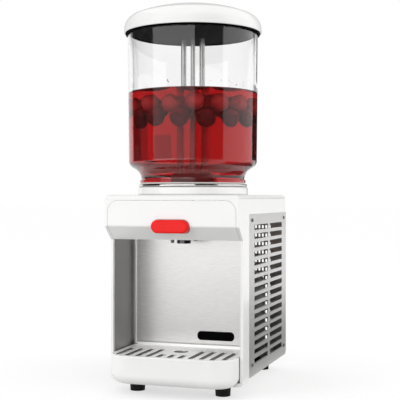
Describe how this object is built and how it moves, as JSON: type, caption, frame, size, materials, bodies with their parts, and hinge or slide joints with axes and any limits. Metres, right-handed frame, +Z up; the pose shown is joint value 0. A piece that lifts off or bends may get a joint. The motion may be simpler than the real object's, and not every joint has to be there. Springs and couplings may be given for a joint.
{
  "type": "juice dispenser",
  "caption": "Refrigerated juice dispenser with a clear bowl under a domed lid, louvred steel sides, a push-button tap over a niche and a pull-out drip tray with a slotted grid.",
  "frame": {"origin": "on the floor, under the middle of the whole machine's box", "axes": "+Z up, the front with the tap faces -Y, +X to the machine's left as it faces the user, which is the viewer's right"},
  "size_m": [0.2528, 0.377, 0.698],
  "materials": {
    "white_plastic": "glossy",
    "red_plastic": "glossy",
    "clear_plastic": "clear",
    "black_plastic": "glossy",
    "inner_plastic": "matte",
    "foam": "foam",
    "silicone": "translucent",
    "black_rubber": "matte",
    "brushed_steel": "brushed",
    "polished_steel": "polished",
    "copper": "drawn tube",
    "aluminium": "mill finish",
    "white_enamel": "gloss",
    "black_enamel": "satin"
  },
  "bodies": {
    "cabinet": {"base_pan": "brushed_steel", "cable_gland": "black_plastic", "capillary_pipe": "copper", "compressor": "black_enamel", "compressor_grommets": "black_rubber", "condenser_fins": "aluminium", "condenser_tube": "copper", "deck_plate": "polished_steel", "discharge_pipe": "copper", "dispensing_tube": "silicone", "evaporator_coil": "copper", "fan_motor": "black_enamel", "fan_post": "inner_plastic", "fan_shroud": "black_plastic", "filter_drier": "copper", "foot_screws": "brushed_steel", "front_frame": "white_plastic", "hood_panel": "white_plastic", "insulation_block": "foam", "liquid_pipe": "copper", "motor_bracket": "brushed_steel", "name_plate": "black_plastic", "niche_ceiling": "white_enamel", "pump_housing": "inner_plastic", "pump_motor": "black_enamel", "rear_panel": "brushed_steel", "rear_panel_screws": "brushed_steel", "relay_cover": "black_plastic", "return_spring": "brushed_steel", "rubber_feet": "black_rubber", "side_panel_left": "brushed_steel", "side_panel_right": "brushed_steel", "side_panel_screws": "brushed_steel", "splash_panel": "brushed_steel", "spout": "black_plastic", "spray_tube_centre": "brushed_steel", "spray_tube_left": "brushed_steel", "spray_tube_right": "brushed_steel", "suction_pipe": "copper", "switch_housings": "black_plastic", "thermostat_body": "inner_plastic", "top_cover": "white_plastic", "valve_body": "inner_plastic", "valve_plug": "black_plastic", "valve_screws": "brushed_steel"},
    "bowl": {"bowl": "clear_plastic", "bowl_gasket": "silicone"},
    "lid": {"lid_dome": "white_plastic", "lid_liner": "black_plastic"},
    "push_button": {"dispense_button": "red_plastic", "valve_spool": "black_plastic", "spool_seals": "black_rubber"},
    "drip_tray": {"drip_tray": "white_plastic"},
    "drip_grid": {"drip_grid": "brushed_steel"},
    "fan": {"fan_blade": "aluminium"},
    "impeller": {"impeller": "inner_plastic"},
    "pump_rotor": {"drive_magnet": "black_enamel"},
    "thermostat_knob": {"thermostat_knob": "black_plastic"},
    "power_rocker": {"power_rocker": "black_plastic"},
    "pump_rocker": {"pump_rocker": "black_plastic"}
  },
  "joints": [
    {"name": "bowl_lift", "type": "slide", "parent": "cabinet", "child": "bowl", "axis": [0, 0, 1], "range_m": [0, 0.32]},
    {"name": "lid_lift", "type": "slide", "parent": "bowl", "child": "lid", "axis": [0, 0, 1], "range_m": [0, 0.15]},
    {"name": "button_push", "type": "slide", "parent": "cabinet", "child": "push_button", "axis": [0, 1, 0], "range_m": [0, 0.007], "stiffness_N_per_m": 500, "springref_m": -0.005, "deforming": ["return_spring"]},
    {"name": "tray_slide", "type": "slide", "parent": "cabinet", "child": "drip_tray", "axis": [0, -1, 0], "range_m": [0, 0.14]},
    {"name": "grid_lift", "type": "slide", "parent": "drip_tray", "child": "drip_grid", "axis": [0, 0, 1], "range_m": [0, 0.05]},
    {"name": "fan_spin", "type": "hinge", "parent": "cabinet", "child": "fan", "pos_m": [-0.06, 0.0515, 0.127], "axis": [1, 0, 0], "continuous": true},
    {"name": "rotor_spin", "type": "hinge", "parent": "cabinet", "child": "pump_rotor", "pos_m": [0, -0.049, 0.35], "axis": [0, 0, 1], "continuous": true},
    {"name": "impeller_spin", "type": "hinge", "parent": "cabinet", "child": "impeller", "pos_m": [0, -0.049, 0.376], "axis": [0, 0, 1], "continuous": true},
    {"name": "thermostat_turn", "type": "hinge", "parent": "cabinet", "child": "thermostat_knob", "pos_m": [-0.04, 0.1745, 0.275], "axis": [0, 1, 0], "range_deg": [-135, 135]},
    {"name": "power_rock", "type": "hinge", "parent": "cabinet", "child": "power_rocker", "pos_m": [-0.098, 0.1735, 0.275], "axis": [1, 0, 0], "range_deg": [-9, 9]},
    {"name": "pump_rock", "type": "hinge", "parent": "cabinet", "child": "pump_rocker", "pos_m": [-0.072, 0.1735, 0.275], "axis": [1, 0, 0], "range_deg": [-9, 9]}
  ],
  "couplings": [
    {"joint": "impeller_spin", "follows": "rotor_spin", "ratio": 1}
  ]
}
